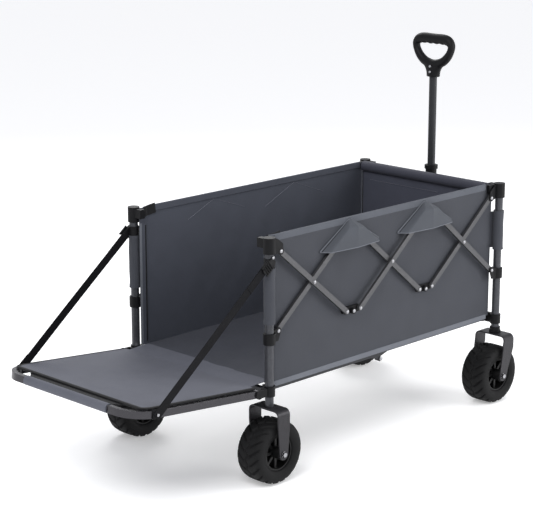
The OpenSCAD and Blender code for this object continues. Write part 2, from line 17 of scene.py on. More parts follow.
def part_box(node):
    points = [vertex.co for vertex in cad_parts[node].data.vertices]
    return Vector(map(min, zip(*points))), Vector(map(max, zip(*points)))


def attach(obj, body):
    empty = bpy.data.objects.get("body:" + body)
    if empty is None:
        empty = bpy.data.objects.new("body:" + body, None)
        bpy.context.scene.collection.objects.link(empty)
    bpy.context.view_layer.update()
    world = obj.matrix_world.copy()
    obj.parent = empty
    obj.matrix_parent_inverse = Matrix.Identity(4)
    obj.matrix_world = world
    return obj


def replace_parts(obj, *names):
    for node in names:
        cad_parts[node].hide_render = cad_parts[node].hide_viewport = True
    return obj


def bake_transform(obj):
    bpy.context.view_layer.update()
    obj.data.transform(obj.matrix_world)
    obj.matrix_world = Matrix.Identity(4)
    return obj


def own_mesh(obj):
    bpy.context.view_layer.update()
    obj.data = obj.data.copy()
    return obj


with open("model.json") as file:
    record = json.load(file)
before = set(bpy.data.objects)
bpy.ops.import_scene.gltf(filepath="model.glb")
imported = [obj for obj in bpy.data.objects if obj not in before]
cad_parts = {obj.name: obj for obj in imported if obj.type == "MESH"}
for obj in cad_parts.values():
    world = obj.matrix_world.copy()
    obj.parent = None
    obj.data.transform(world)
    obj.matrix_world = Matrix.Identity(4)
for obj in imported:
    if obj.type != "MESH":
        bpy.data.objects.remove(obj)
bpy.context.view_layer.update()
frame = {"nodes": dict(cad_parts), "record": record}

# %% [markdown]
# ## A ruler in millimetres
# People who sew and weld wagons think in millimetres, and they measure from the wagon's middle. The
# posts give that middle and the spacing, so the numbers below are measured from the frame itself.

# %% The wagon's own middle
MM = 0.001


def middle_of(node):
    low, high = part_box(node)
    return (low + high) / 2


tail_post, front_post = middle_of("post_tail_near"), middle_of("post_front_near")
MID_X = (tail_post.x + front_post.x) / 2
HALF_L = (front_post.x - tail_post.x) / 2 / MM
HALF_W = -tail_post.y / MM


def at(x, y, z):
    """A point in millimetres from the wagon's middle, as a place in the scene."""
    return Vector((MID_X + x * MM, y * MM, z * MM))


print("posts stand", round(HALF_L, 1), "and", round(HALF_W, 1), "mm from the middle")

# %% [markdown]
# ## Camera
# A long lens from far back keeps the wagon's parallel lines nearly parallel. It stands beyond the
# tailgate's near corner, a little above the rim, and looks down at the floor of the bag.

# %% Place the camera
CAMERA_AT = at(-3827.8, -3529.8, 1802.0)
CAMERA_YAW, CAMERA_DOWN = math.radians(45.514), math.radians(14.336)
SENSOR_MM, LENS_MM = 36.0, 121.76

camera_data = bpy.data.cameras.new("camera")
camera_data.sensor_width = SENSOR_MM
camera_data.lens = LENS_MM
camera = bpy.data.objects.new("camera", camera_data)
bpy.context.scene.collection.objects.link(camera)
look = Vector((math.sin(CAMERA_YAW) * math.cos(CAMERA_DOWN),
               math.cos(CAMERA_YAW) * math.cos(CAMERA_DOWN),
               -math.sin(CAMERA_DOWN)))
camera.location = CAMERA_AT
camera.rotation_euler = look.to_track_quat("-Z", "Y").to_euler()
camera_data.clip_end = 50
bpy.context.scene.camera = camera
print("camera at", [round(v, 3) for v in camera.location])

# %% [markdown]
# ## Floor and light
# A studio floor is one wide pale plane. One big soft light from the upper left gives the shape, a
# second fills the near side, and a third skims the rim from behind. Big lights give soft shadows.

# %% Studio floor
def plain_finish(name, colour, roughness):
    finish = bpy.data.materials.new(name)
    finish.use_nodes = True
    shader = finish.node_tree.nodes["Principled BSDF"]
    shader.inputs["Base Color"].default_value = (*colour, 1)
    shader.inputs["Roughness"].default_value = roughness
    return finish


FLOOR_HALF = 30
FLOOR_GLOW = 0.3
floor_mesh = bpy.data.meshes.new("studio_floor")
corners = [(x * FLOOR_HALF, y * FLOOR_HALF, 0) for x, y in ((-1, -1), (1, -1), (1, 1), (-1, 1))]
floor_mesh.from_pydata(corners, [], [(0, 1, 2, 3)])
studio_floor = bpy.data.objects.new("studio_floor", floor_mesh)
studio_floor.location.z = -0.0005
bpy.context.scene.collection.objects.link(studio_floor)
studio_white = plain_finish("studio_white", (0.9, 0.9, 0.9), 0.9)
glow = studio_white.node_tree.nodes["Principled BSDF"]
glow.inputs["Emission Color"].default_value = (1, 1, 1, 1)
glow.inputs["Emission Strength"].default_value = FLOOR_GLOW
floor_mesh.materials.append(studio_white)
print("studio floor", 2 * FLOOR_HALF, "m wide")

# %% Soft lights
def soft_light(name, place, aim, size, power):
    data = bpy.data.lights.new(name, "AREA")
    data.shape = "DISK"
    data.size = size
    data.energy = power
    light = bpy.data.objects.new(name, data)
    light.location = place
    light.rotation_euler = (Vector(aim) - Vector(place)).to_track_quat("-Z", "Y").to_euler()
    bpy.context.scene.collection.objects.link(light)


soft_light("key", (-2.6, -1.2, 3.4), (0, 0, 0.4), 2.4, 95)
soft_light("fill", (2.3, -3.2, 1.6), (0.3, 0, 0.4), 2.4, 80)
soft_light("rim", (1.8, 2.4, 2.8), (0, 0, 0.5), 2.0, 50)
print("three soft lights hung")

# %% [markdown]
# ## Room and backdrop
# The room adds even light from all round, a touch cooler than the lamps. Behind the wagon there is a
# plain white backdrop instead of that room, so every outline stays clean.

# %% Room light and white backdrop
world = bpy.data.worlds.new("studio")
world.use_nodes = True
sky_nodes, sky_link = world.node_tree.nodes, world.node_tree.links.new
room = sky_nodes["Background"]
room.inputs["Color"].default_value = (0.95, 0.96, 1.0, 1)
room.inputs["Strength"].default_value = 0.72
backdrop = sky_nodes.new("ShaderNodeBackground")
backdrop.inputs["Color"].default_value = (1, 1, 1, 1)
seen = sky_nodes.new("ShaderNodeLightPath")
pick = sky_nodes.new("ShaderNodeMixShader")
sky_link(seen.outputs["Is Camera Ray"], pick.inputs["Fac"])
sky_link(room.outputs[0], pick.inputs[1])
sky_link(backdrop.outputs[0], pick.inputs[2])
sky_link(pick.outputs[0], sky_nodes["World Output"].inputs["Surface"])
bpy.context.scene.world = world
bpy.context.scene.view_settings.view_transform = "Standard"
print("room and backdrop ready")

# %% [markdown]
# ## Finishes
# Every finish starts from the real surface. Coated polyester has a fine weave and a soft mottle, the
# posts have a hammered powder coat, the arms a satin one, and the plastic a fine moulded grain.

# %% One builder for every finish
def tone(red, green, blue):
    """An everyday 0-255 colour as the linear numbers that a shader takes."""
    shares = (red / 255, green / 255, blue / 255)
    return tuple(c / 12.92 if c <= 0.04045 else ((c + 0.055) / 1.055) ** 2.4 for c in shares)


def surface(name, colour, roughness, metal=0.0, mottle=0.05, mottle_mm=30, grain_mm=1.5,
            relief_mm=0.05, weave_mm=0.0, weave_on="XZ", sheen=0.0, round_mm=0.0, shine=0.35):
    """A finish whose colour drifts a little, with grain or a two-way weave as relief."""
    finish = plain_finish(name, colour, roughness)
    nodes, link = finish.node_tree.nodes, finish.node_tree.links.new
    shader = nodes["Principled BSDF"]
    shader.inputs["Metallic"].default_value = metal
    shader.inputs["Sheen Weight"].default_value = sheen
    shader.inputs["Specular IOR Level"].default_value = shine
    place = nodes.new("ShaderNodeTexCoord").outputs["Object"]

    def noise(size_mm):
        node = nodes.new("ShaderNodeTexNoise")
        node.inputs["Scale"].default_value = 1000 / size_mm
        node.inputs["Detail"].default_value = 3
        link(place, node.inputs["Vector"])
        return node.outputs["Fac"]

    def blend(amount, low, high, socket):
        node = nodes.new("ShaderNodeMapRange")
        node.inputs["To Min"].default_value, node.inputs["To Max"].default_value = low, high
        link(amount, node.inputs["Value"])
        link(node.outputs["Result"], socket)
        return node

    def add(first, second):
        node = nodes.new("ShaderNodeMath")
        link(first, node.inputs[0])
        link(second, node.inputs[1])
        return node.outputs[0]

    drift = nodes.new("ShaderNodeMix")
    drift.data_type = "RGBA"
    drift.inputs[6].default_value = (*[c * (1 - mottle) for c in colour], 1)
    drift.inputs[7].default_value = (*[c * (1 + mottle) for c in colour], 1)
    spread = blend(add(noise(mottle_mm), noise(grain_mm)), 0, 1, drift.inputs[0])
    spread.inputs["From Min"].default_value, spread.inputs["From Max"].default_value = 0.7, 1.3
    link(drift.outputs[2], shader.inputs["Base Color"])
    blend(noise(mottle_mm / 2), roughness - 0.07, min(roughness + 0.07, 1), shader.inputs["Roughness"])
    relief = nodes.new("ShaderNodeBump")
    relief.inputs["Distance"].default_value = relief_mm * MM
    relief.inputs["Strength"].default_value = 0.8
    height = noise(grain_mm)
    for axis in weave_on if weave_mm else "":
        threads = nodes.new("ShaderNodeTexWave")
        threads.bands_direction = axis
        threads.inputs["Scale"].default_value = 2 * math.pi / (20 * weave_mm * MM)
        link(place, threads.inputs["Vector"])
        height = add(height, threads.outputs["Fac"])
    link(height, relief.inputs["Height"])
    if round_mm:
        edge = nodes.new("ShaderNodeBevel")
        edge.samples = 4
        edge.inputs["Radius"].default_value = round_mm * MM
        link(edge.outputs["Normal"], relief.inputs["Normal"])
    link(relief.outputs["Normal"], shader.inputs["Normal"])
    return finish


def woven(name, colour, weave_on):
    """Coated polyester: threads about a millimetre apart, woven across the two named axes."""
    return surface(name, colour, 0.72, mottle=0.07, mottle_mm=60, grain_mm=2.2, relief_mm=0.12,
                   weave_mm=1.3, weave_on=weave_on, sheen=0.05, shine=0.22)


# %% The finishes of the wagon
WALL = woven("wall_cloth", tone(59, 61, 67), "XZ")
# The inner tone goes on inward faces: partly the cloth's own inner side, partly painted shade fitted to
# the shaded inside of the bag.
LINING_AND_SHADE = woven("lining_and_painted_shade", tone(66, 69, 78), "XZ")
END_WALL = woven("end_wall_cloth", tone(68, 70, 81), "YZ")
# The roll is the end wall's cloth made darker: painted shade that holds down the light on its top.
SHADED_ROLL_CLOTH = woven("roll_cloth_painted_shade", tone(58, 59, 69), "YZ")
FLAP = woven("flap_cloth", tone(70, 73, 79), "XZ")
GATE_CLOTH = woven("gate_cloth_finish", tone(86, 88, 97), "XY")
# The floor cloth is the gate's cloth made darker: painted shade inside the bag.
SHADED_FLOOR_CLOTH = woven("floor_cloth_painted_shade", tone(58, 60, 68), "XY")
# Light binding tape; on the flap seams the same finish is a painted highlight.
BINDING_AND_HIGHLIGHT = woven("light_binding_and_highlight", tone(99, 102, 109), "XZ")
RIM_TAPE = woven("rim_tape", tone(82, 85, 92), "XZ")
# Near-black tape; the same finish also paints shade on the gate's skirt, the flap crease lines and the
# strip in the wall's tail fold.
DARK_TAPE_AND_SHADE = woven("dark_tape_and_painted_shade", tone(15, 15, 17), "XZ")
WEBBING = surface("webbing", tone(15, 15, 18), 0.8, mottle=0.2, grain_mm=2, relief_mm=0.3,
                  weave_mm=2.2, weave_on="XZ", shine=0.15)
THREAD = surface("thread", tone(112, 114, 124), 0.7, mottle=0.1)
HAMMERED = surface("hammered_coat", tone(64, 65, 69), 0.38, metal=0.45, mottle=0.2, mottle_mm=8,
                   grain_mm=3.5, relief_mm=0.6, round_mm=0.5)
FORK_COAT = surface("fork_coat", tone(46, 45, 48), 0.4, metal=0.45, mottle=0.25, mottle_mm=7,
                    grain_mm=3, relief_mm=0.6, round_mm=1.2)
SATIN = surface("satin_coat", tone(80, 80, 82), 0.33, metal=0.6, mottle=0.06, grain_mm=1.2,
                relief_mm=0.04, round_mm=1.2)
GATE_COAT = surface("gate_coat", tone(64, 63, 66), 0.26, metal=0.75, mottle=0.06, grain_mm=1.2,
                    relief_mm=0.05, round_mm=1.5)
DARK_COAT = surface("dark_coat", tone(42, 43, 46), 0.4, metal=0.4, mottle=0.1, grain_mm=1.5,
                    relief_mm=0.06, round_mm=1.2)
PLASTIC = surface("moulded_plastic", tone(14, 14, 16), 0.5, mottle=0.1, grain_mm=0.8,
                  relief_mm=0.05, round_mm=1.5, shine=0.16)
RIM_PLASTIC = surface("rim_plastic", tone(10, 10, 11), 0.5, mottle=0.1, relief_mm=0.05, round_mm=1.0,
                      shine=0.3)
RUBBER = surface("tyre_rubber", tone(14, 14, 15), 0.7, mottle=0.2, mottle_mm=20, grain_mm=1.6,
                 relief_mm=0.12, shine=0.2)
BOARD = surface("floor_board", tone(48, 48, 50), 0.7, mottle=0.12, mottle_mm=18, relief_mm=0.1)
STEEL = surface("bright_steel", tone(160, 160, 163), 0.34, metal=1.0, mottle=0.05, relief_mm=0.02)

SLOT_FINISH = {"hammered_tube": HAMMERED, "scissor_steel": SATIN, "gate_tube": GATE_COAT,
               "black_bracket": PLASTIC, "tyre": RUBBER, "rim": RIM_PLASTIC, "fork_steel": FORK_COAT,
               "frame_steel": DARK_COAT, "floor_board": BOARD, "bag_fabric": WALL,
               "gate_fabric": GATE_CLOTH, "webbing": WEBBING, "handle_steel": DARK_COAT,
               "grip_plastic": PLASTIC}
slot_of = {part["node"]: part["material_slot"] for part in frame["record"]["subparts"]}
for node, part in frame["nodes"].items():
    for socket in part.material_slots:
        socket.material = SLOT_FINISH[slot_of[node]]
print(len(frame["nodes"]), "CAD nodes finished")

# %% [markdown]
# ## Shape tools
# Almost everything sewn or moulded here is a grid of points or a section carried along a path. The
# tools work in millimetres on the far side, where outwards is +Y, and `near_side` mirrors the result.

# %% Grids, rings and sections
def grid_faces(rows, columns, loop=False):
    """Four-sided faces over rows of points; loop joins each row's end to its start."""
    across = columns if loop else columns - 1
    return [(r * columns + c, r * columns + (c + 1) % columns,
             (r + 1) * columns + (c + 1) % columns, (r + 1) * columns + c)
            for r in range(rows - 1) for c in range(across)]


def join(*shapes):
    """Several shapes as one."""
    points, faces, base = [], [], 0
    for part_points, part_faces in shapes:
        points.append(np.asarray(part_points, float))
        faces += [tuple(i + base for i in face) for face in part_faces]
        base += len(part_points)
    return np.vstack(points), faces


SIDES = ((1, "far"), (-1, "near"))


def on_side(shape, side):
    return shape if side > 0 else near_side(shape)


def near_side(shape):
    """The mirror image of a far-side shape."""
    return np.asarray(shape[0], float) * (1, -1, 1), [face[::-1] for face in shape[1]]


def skin(stack, closed=False):
    """A skin over rings of points: capped at both ends, or closed into a loop."""
    stack = np.asarray(stack, float)
    if closed:
        stack = np.concatenate([stack, stack[:1]])
    rows, columns = stack.shape[:2]
    faces = grid_faces(rows, columns, True)
    if closed:
        last = (rows - 1) * columns
        faces = [tuple(i - last if i >= last else i for i in face) for face in faces]
        stack = stack[:-1]
    else:
        faces += [tuple(range(columns))[::-1],
                  tuple((rows - 1) * columns + c for c in range(columns))]
    return stack.reshape(-1, 3), faces


def oval(wide, thick, sides=12):
    """The section of a round or flattened rod."""
    turn = np.arange(sides) * 2 * math.pi / sides
    return np.stack([wide * np.cos(turn), thick * np.sin(turn)], 1)


def tape(width, thick):
    """The section of a flat tape with soft edges."""
    w, t = width / 2, thick / 2
    e = min(w, t) * 0.6
    return np.array([(w, t - e), (w - e, t), (0, t * 1.02), (e - w, t), (-w, t - e), (-w, e - t),
                     (e - w, -t), (0, -t * 1.02), (w - e, -t), (w, e - t)])


print("sections ready, an oval rod has", len(oval(1, 1)), "sides")


# %% Sweeps
def sweep(path, section, across, closed=False):
    """Carries a section of (across, up) pairs along a path."""
    path = np.asarray(path, float)
    ahead = (np.roll(path, -1, 0) - np.roll(path, 1, 0)) if closed else np.gradient(path, axis=0)
    ahead /= np.linalg.norm(ahead, axis=1)[:, None]
    side = np.asarray(across, float) - (ahead @ np.asarray(across, float))[:, None] * ahead
    side /= np.linalg.norm(side, axis=1)[:, None]
    up = np.cross(side, ahead)
    section = np.asarray(section, float)
    if section.ndim == 2:
        section = np.broadcast_to(section, (len(path), *section.shape))
    return skin(path[:, None] + section[..., :1] * side[:, None] + section[..., 1:] * up[:, None],
                closed)


def smooth_step(value):
    """Eases from 0 to 1, as cloth does where a fold begins and ends."""
    value = np.clip(value, 0, 1)
    return value * value * (3 - 2 * value)


print("sweeps ready, half way eases to", float(smooth_step(0.5)))

# %% [markdown]
# ## From points to pieces
# A piece is a mesh with a finish and the body that it rides on. Cloth gets real thickness, since its
# faces and its cut edge show.

# %% Pieces and cloth
SHARP_ANGLE = math.radians(42)


def piece(name, shape, finish, body=None):
    """A Blender object from points in millimetres, riding on one body."""
    points, faces = shape
    mesh = bpy.data.meshes.new(name)
    mesh.from_pydata((np.asarray(points, float) * MM + (MID_X, 0, 0)).tolist(), [], faces)
    work = bmesh.new()
    work.from_mesh(mesh)
    bmesh.ops.recalc_face_normals(work, faces=work.faces)
    work.to_mesh(mesh)
    work.free()
    mesh.shade_smooth()
    mesh.set_sharp_from_angle(angle=SHARP_ANGLE)
    mesh.materials.append(finish)
    obj = bpy.data.objects.new(name, mesh)
    bpy.context.scene.collection.objects.link(obj)
    if body:
        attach(obj, body)
    return obj


def cloth(name, grid, thick, finish, body, inward_finish=None):
    """A sheet of real thickness over a grid of points; the side that faces inwards can take its own
    finish, on the walls partly painted shade.
    """
    grid = np.asarray(grid, float)
    rows, columns = grid.shape[:2]
    normal = np.cross(np.gradient(grid, axis=1), np.gradient(grid, axis=0))
    normal /= np.linalg.norm(normal, axis=2)[:, :, None]
    stack = np.concatenate([grid + normal * thick / 2, grid - normal * thick / 2])
    count = rows * columns
    faces = grid_faces(rows, columns)
    faces += [tuple(i + count for i in face[::-1]) for face in faces]
    edge = ([(0, c) for c in range(columns)] + [(r, columns - 1) for r in range(1, rows)]
            + [(rows - 1, c) for c in range(columns - 2, -1, -1)]
            + [(r, 0) for r in range(rows - 2, 0, -1)])
    rim = [r * columns + c for r, c in edge]
    faces += [(a, b, b + count, a + count) for a, b in zip(rim, rim[1:] + rim[:1])]
    obj = piece(name, (stack.reshape(-1, 3), faces), finish, body)
    if inward_finish:
        obj.data.materials.append(inward_finish)
        outward = 1 if grid[..., 1].mean() > 0 else -1
        for face in obj.data.polygons:
            if face.normal.y * outward < -0.5:
                face.material_index = 1
    return obj


BAG_FRONT = 482


def folds_with_wagon(obj):
    """Gives the cloth its own copy of its mesh."""
    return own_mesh(obj)


print("tools ready")

# %% [markdown]
# ## The bag's two long sides
# Each side is one sheet of coated cloth from post to post. On the real wagon it hangs from the top rim
# and gathers as the frame folds. It bows inwards by a few millimetres, and at the tail post it tucks in
# behind the slider, so the slider's ring runs free.

# %% Side walls
SIDE_OUT = 255.5
SIDE_LOW, SIDE_HIGH = 270, 685
SIDE_TAIL, SIDE_FRONT = -498, BAG_FRONT


def side_depth(x, z):
    """How far out the middle of the side's cloth lies."""
    x, z = np.asarray(x, float), np.asarray(z, float)
    along, up = (x - SIDE_TAIL) / (SIDE_FRONT - SIDE_TAIL), (z - SIDE_LOW) / (SIDE_HIGH - SIDE_LOW)
    tuck = 4.6 * smooth_step((-466 - x) / 14)
    bow = np.sin(math.pi * np.clip(along, 0, 1)) * np.sin(math.pi * np.clip(up, 0, 1))
    pull = 0.8 * np.sin(x / 37 + z / 60) * np.sin(z / 41) + 0.6 * np.sin(x / 17 - z / 33)
    return SIDE_OUT - tuck - bow * (3.2 + pull)


def side_wall(side):
    name = "bag_side_near" if side < 0 else "bag_side_far"
    x, z = np.meshgrid(np.linspace(SIDE_TAIL, SIDE_FRONT, 150), np.linspace(0, 1, 56))
    low = SIDE_LOW + 7 * smooth_step((-476 - x) / 8)
    z = low + (SIDE_HIGH - low) * z
    grid = np.stack([x, side * side_depth(x, z), z], 2)
    # Inward faces take the inner tone, partly painted shade.
    wall = cloth(name, grid, 2, WALL, "tail_frame", LINING_AND_SHADE)
    folds_with_wagon(wall)
    return wall


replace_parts(side_wall(1), "bag_tail")
side_wall(-1)
print("side walls", SIDE_FRONT - SIDE_TAIL, "by", SIDE_HIGH - SIDE_LOW)

# %% [markdown]
# ## Hems and bindings
# A tape is folded over the top edge and a lighter one along the bottom. Sewn tape keeps a bag's edge
# from fraying and takes the pull of the frame. At the tail a narrow binding runs down the wall's edge.

# %% Hems, patches and edge bindings
def inward_toned(obj, inward_finish, side):
    """Gives the faces that look into the bag their own finish, partly painted shade of the bag's
    inside.
    """
    obj.data.materials.append(inward_finish)
    for face in obj.data.polygons:
        if face.normal.y * side < -0.3:
            face.material_index = 1
    return obj


def hem(name, x0, x1, z, height, out, thick, finish, side):
    """A tape along the wall; it follows the wall's own depth, and its inward faces take the inner tone,
    partly painted shade.
    """
    x = np.linspace(x0, x1, 90)
    path = np.stack([x, side_depth(x, np.full_like(x, z)) + out, np.full_like(x, z)], 1)
    shape = sweep(path, tape(height, thick), (0, 0, 1))
    obj = piece(name, on_side(shape, side), finish, "tail_frame")
    return folds_with_wagon(inward_toned(obj, LINING_AND_SHADE, side))


def edge_strip(name, x, wide, low, high, inwards, finish, side):
    """A narrow upright strip on the wall's tail edge."""
    z = np.linspace(low, high, 40)
    path = np.stack([np.full_like(z, x), side_depth(np.full_like(z, x), z) - inwards, z], 1)
    strip = on_side(sweep(path, tape(wide, 1.2), (1, 0, 0)), side)
    folds_with_wagon(piece(name, strip, finish, "tail_frame"))


for side, word in SIDES:
    hem(f"top_hem_{word}", -481, 452, 677.5, 20, -1.5, 5.6, RIM_TAPE, side)
    x = np.linspace(-482, -436, 16)
    path = np.stack([x, side_depth(x, np.full_like(x, 676)) - 4.6, 675 + 0.12 * (x + 459)], 1)
    patch = on_side(sweep(path, tape(30, 1.6), (0, 0, 1)), side)
    folds_with_wagon(piece(f"corner_patch_{word}", patch, DARK_TAPE_AND_SHADE, "tail_frame"))
    hem(f"bottom_trim_{word}", -476, 470, 267.5, 15, 1.0, 2.6, BINDING_AND_HIGHLIGHT, side)
    edge_strip(f"edge_binding_{word}", -494, 8, 280, 640, 1.5, BINDING_AND_HIGHLIGHT, side)
    # The near-black strip in the fold where the wall tucks in behind the slider is painted shade of
    # that fold.
    edge_strip(f"edge_slot_shade_{word}", -474, 5, 286, 632, 1.6, DARK_TAPE_AND_SHADE, side)
print("hems sewn")

# %% [markdown]
# ## Flaps over the upper scissor joints
# Each upper joint sits under a small tent of cloth that keeps fingers out of the scissors. The tent is
# sewn along its two slanted edges, with a ridge down its middle, and it is open below for the arms.

# %% Tent flaps
FLAP_TOP, FLAP_TIPS, FLAP_BOTTOM, FLAP_HALF = 683.5, 608, 604, 122
FLAP_LIFT, FLAP_RIDGE = 24.5, 8
HUB_X = 164


def flap_point(u, z):
    """Across (-1 to 1) and height to a point of the flap, measured from its own middle."""
    half = np.maximum(FLAP_HALF * np.clip((FLAP_TOP - z) / (FLAP_TOP - FLAP_TIPS), 0, 1), 2)
    lift = smooth_step((FLAP_TOP + 1 - z) / 24)
    tent = (FLAP_LIFT * smooth_step((1 - np.abs(u)) / 0.22)
            + FLAP_RIDGE * np.clip(1 - np.abs(u) / 0.75, 0, 1))
    return u * half, SIDE_OUT + 1.8 + lift * tent


def flap(name, x_mid, side, body):
    u, z = np.meshgrid(np.linspace(-1, 1, 61), np.linspace(FLAP_BOTTOM, FLAP_TOP, 34))
    across, out = flap_point(u, z)
    grid = np.stack([x_mid + across, side * out, z], 2)
    tent = cloth(name, grid, 1.4, FLAP, body, WALL)
    highlight_seams, shade_lines = [], []
    for edge in (-1, 1):
        for inset, radius, rows in ((0.995, 1.5, highlight_seams), (0.95, 1.0, shade_lines)):
            z_line = np.linspace(FLAP_TIPS - 2, FLAP_TOP - 2, 40)
            across, out = flap_point(np.full_like(z_line, edge * inset), z_line)
            path = np.stack([x_mid + across, out + 0.9, z_line], 1)
            rows.append(sweep(path, oval(radius, radius, 8), (0, 1, 0)))
    u_line = np.linspace(-0.99, 0.99, 70)
    across, out = flap_point(u_line, np.full_like(u_line, FLAP_BOTTOM))
    path = np.stack([x_mid + across, out, np.full_like(u_line, FLAP_BOTTOM + 1)], 1)
    highlight_seams.append(sweep(path, oval(1.5, 1.5, 8), (0, 0, 1)))
    sewn = []
    # The seams take the light binding finish as a painted highlight, and the dark crease lines just
    # inside the slanted seams are painted shade.
    for label, rows, finish in (("seam", highlight_seams, BINDING_AND_HIGHLIGHT), ("crease", shade_lines, DARK_TAPE_AND_SHADE)):
        shape = on_side(join(*rows), side)
        sewn.append(piece(f"{name}_{label}", shape, finish, body))
    for cloth_piece in (tent, *sewn):
        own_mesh(cloth_piece)


for side, word in SIDES:
    flap(f"flap_tail_{word}", -HUB_X, side, "hub_top_tail")
    flap(f"flap_front_{word}", HUB_X, side, "hub_top_front")
print("flaps sewn")

# %% [markdown]
# ## Stitching inside
# Rows of thread show where the flaps and the end wall's pocket are sewn on. Each stitch is a short
# raised dash, as a lockstitch is, so the rows catch the light the way thread does.

# %% Rows of stitches
def stitches(start, end, out_of, long=4.5, pitch=6.5):
    """Short dashes of thread between two (x, z) points, on the depth that out_of gives."""
    start, end = np.array(start, float), np.array(end, float)
    run = end - start
    total = np.linalg.norm(run)
    run /= total
    dashes = []
    for begin in np.arange(0, total - long, pitch):
        spots = start + run * np.array([begin, begin + long / 2, begin + long])[:, None]
        out = out_of(spots[:, 0], spots[:, 1]) - np.array([0.0, 0.5, 0.0])
        dashes.append(sweep(np.stack([spots[:, 0], out, spots[:, 1]], 1), oval(0.8, 0.5, 6), (0, 1, 0)))
    return join(*dashes)


FLAP_ROWS = [((-199, 666), (-307, 619)), ((-199, 666), (-66, 621)),
             ((147, 666), (18, 609)), ((147, 666), (284, 615))]
wall_rows = join(*[stitches(start, end, lambda x, z: side_depth(x, z) - 1.2)
                   for start, end in FLAP_ROWS])
for side, word in SIDES:
    folds_with_wagon(piece(f"wall_stitches_{word}", on_side(wall_rows, side), THREAD, "tail_frame"))
print("rows sewn")

# %% [markdown]
# ## The end wall and its padded roll
# At the handle end the cloth is rolled round a cross bar with padding inside, and the wall hangs from
# it. The roll is blown up as cloth with its seams pinned, so it puckers beside them like a real one.
# The wall's foot is sewn to the floor.

# %% Padded pieces by cloth simulation
SWELL_FRAMES = 20
SWELL_PRESSURE = 4.0


def blown_up(obj, pinned, reach_mm):
    """Swells a closed mesh as cloth; pinned points stay, and none moves further than reach."""
    rest = np.array([v.co for v in obj.data.vertices])
    group = obj.vertex_groups.new(name="seam")
    group.add([int(i) for i in pinned], 1.0, "REPLACE")
    swell = obj.modifiers.new("swell", "CLOTH")
    swell.settings.use_pressure = True
    swell.settings.uniform_pressure_force = SWELL_PRESSURE
    swell.settings.vertex_group_mass = "seam"
    swell.settings.effector_weights.gravity = 0
    swell.settings.tension_stiffness = swell.settings.compression_stiffness = 12
    swell.settings.bending_stiffness = 0.4
    scene = bpy.context.scene
    for moment in range(1, SWELL_FRAMES + 1):
        scene.frame_set(moment)
    shape = obj.evaluated_get(bpy.context.evaluated_depsgraph_get()).to_mesh()
    moved = np.array([v.co for v in shape.vertices]) - rest
    obj.modifiers.remove(swell)
    scene.frame_set(1)
    far = np.linalg.norm(moved, axis=1)
    moved *= np.minimum(1, reach_mm * MM / np.maximum(far, 1e-9))[:, None]
    obj.data.vertices.foreach_set("co", (rest + moved).ravel())
    obj.data.update()
    print(obj.name, "swelled by up to", round(float(np.linalg.norm(moved, axis=1).max()) / MM, 1), "mm")


def padded_roll(name, axis_points, radius, finish, body, reach_mm, sides=40):
    """A padded sleeve along a straight line, with both ends and one seam pinned."""
    path = np.asarray(axis_points, float)
    waist = radius * (1 - 0.02 * (1 + np.sin(np.arange(len(path)) * 1.9)) * 0.5)
    ring = oval(1, 1, sides)
    section = ring[None] * waist[:, None, None]
    obj = piece(name, sweep(path, section, (0, 0, 1)), finish, None)
    rows = len(path)
    back = sides // 2
    seam = {r * sides + s for r in range(rows) for s in range(sides)
            if r < 2 or r > rows - 3 or s in (back, back + 1)
            or (r % 9 == 0 and back - 3 < s < back + 4)}
    blown_up(obj, sorted(seam), reach_mm)
    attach(obj, body)
    return obj


# %% Padded roll
ROLL_X, ROLL_Z, ROLL_RADIUS = 466.5, 673, 16.6
ROLL_HALF = 247
y_line = np.linspace(-ROLL_HALF, ROLL_HALF, 90)
roll_line = np.stack([np.full(90, ROLL_X), y_line, np.full(90, ROLL_Z)], 1)
# The roll takes the darkened cloth: painted shade.
padded_roll("end_roll", roll_line, ROLL_RADIUS, SHADED_ROLL_CLOTH, "front_frame", 2.2)
print("roll", 2 * ROLL_HALF, "mm long")

# %% End wall
WALL_X = 467
y, z = np.meshgrid(np.linspace(-249, 249, 90), np.linspace(272, 662, 60))
sag = 4.5 * np.cos(y / 249 * math.pi / 2) * np.sin((z - 272) / 390 * math.pi)
ripple = 0.8 * np.sin(z / 19 + y / 90) * np.exp(-(662 - z) / 60)
end_wall = cloth("end_wall", np.stack([WALL_X + sag * 0.6 + ripple, y, z], 2), 2, END_WALL, None)
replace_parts(end_wall, "bag_front")
seam_rows = []
for z_row, y_from, y_to in ((657, 224, -132), (632, 218, -66)):
    points, faces = stitches((y_from, z_row), (y_to, z_row),
                             lambda y, z: np.full(np.shape(y), WALL_X - 1.6))
    seam_rows.append((points[:, [1, 0, 2]], faces))
end_rows = piece("end_wall_stitches", join(*seam_rows), THREAD, "front_frame")
corner_path = np.stack([np.full(40, WALL_X - 1.5), np.full(40, 250.5), np.linspace(275, 655, 40)], 1)
corner = sweep(corner_path, oval(1.6, 1.6, 8), (0, 1, 0))
corners = piece("end_wall_corner_seams", join(corner, near_side(corner)), DARK_TAPE_AND_SHADE, None)
for sewn_to_floor in (end_wall, corners):  # both are baked where they stand
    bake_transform(sewn_to_floor)
print("end wall hung")

# %% [markdown]
# ## Floor cloth
# The cloth lies on two stiff boards. The boards hinge where the floor rails do, so the cloth is made in
# two halves that meet on that line, and each half rises with its own board.

# %% Floor halves
KNEE_X = -15


